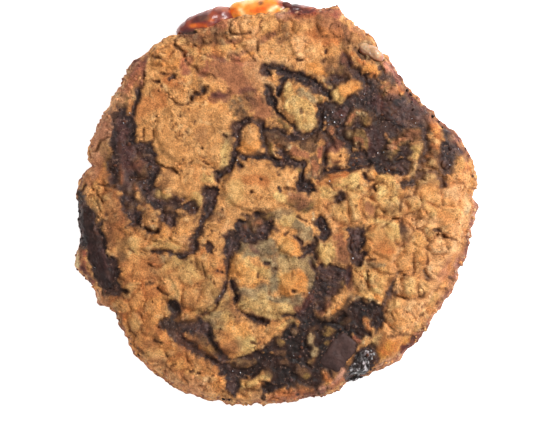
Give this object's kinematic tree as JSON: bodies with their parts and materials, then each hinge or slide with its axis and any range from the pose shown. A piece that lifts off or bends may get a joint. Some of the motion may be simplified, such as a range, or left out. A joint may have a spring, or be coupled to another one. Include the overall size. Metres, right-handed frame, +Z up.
{
  "type": "chocolate chip marshmallow cookie",
  "caption": "Thin round cookie with a crumbly golden crust, melted chocolate between its plates, chocolate pieces and melted marshmallow at one edge.",
  "frame": {"origin": "under the middle of the cookie, on the surface it lies on", "axes": "+Z up out of the cookie's top, +Y towards the edge where the marshmallow ran out, +X to the right seen from above"},
  "size_m": [0.106, 0.1069, 0.0102],
  "materials": {
    "crust": "matt baked crust",
    "chocolate": "satin set chocolate",
    "marshmallow": "glossy caramelised marshmallow"
  },
  "bodies": {
    "root": {"dough": "crust", "chocolate_left": "chocolate", "chocolate_left_edge": "chocolate", "chocolate_lower": "chocolate", "chocolate_lower_edge": "chocolate", "chocolate_upper_right": "chocolate", "chocolate_right": "chocolate", "chocolate_right_inner": "chocolate", "chocolate_middle": "chocolate", "chocolate_middle_right": "chocolate", "chocolate_upper": "chocolate", "marshmallow_left": "marshmallow", "marshmallow_middle": "marshmallow", "marshmallow_right": "marshmallow", "marshmallow_nub": "marshmallow"}
  },
  "joints": []
}
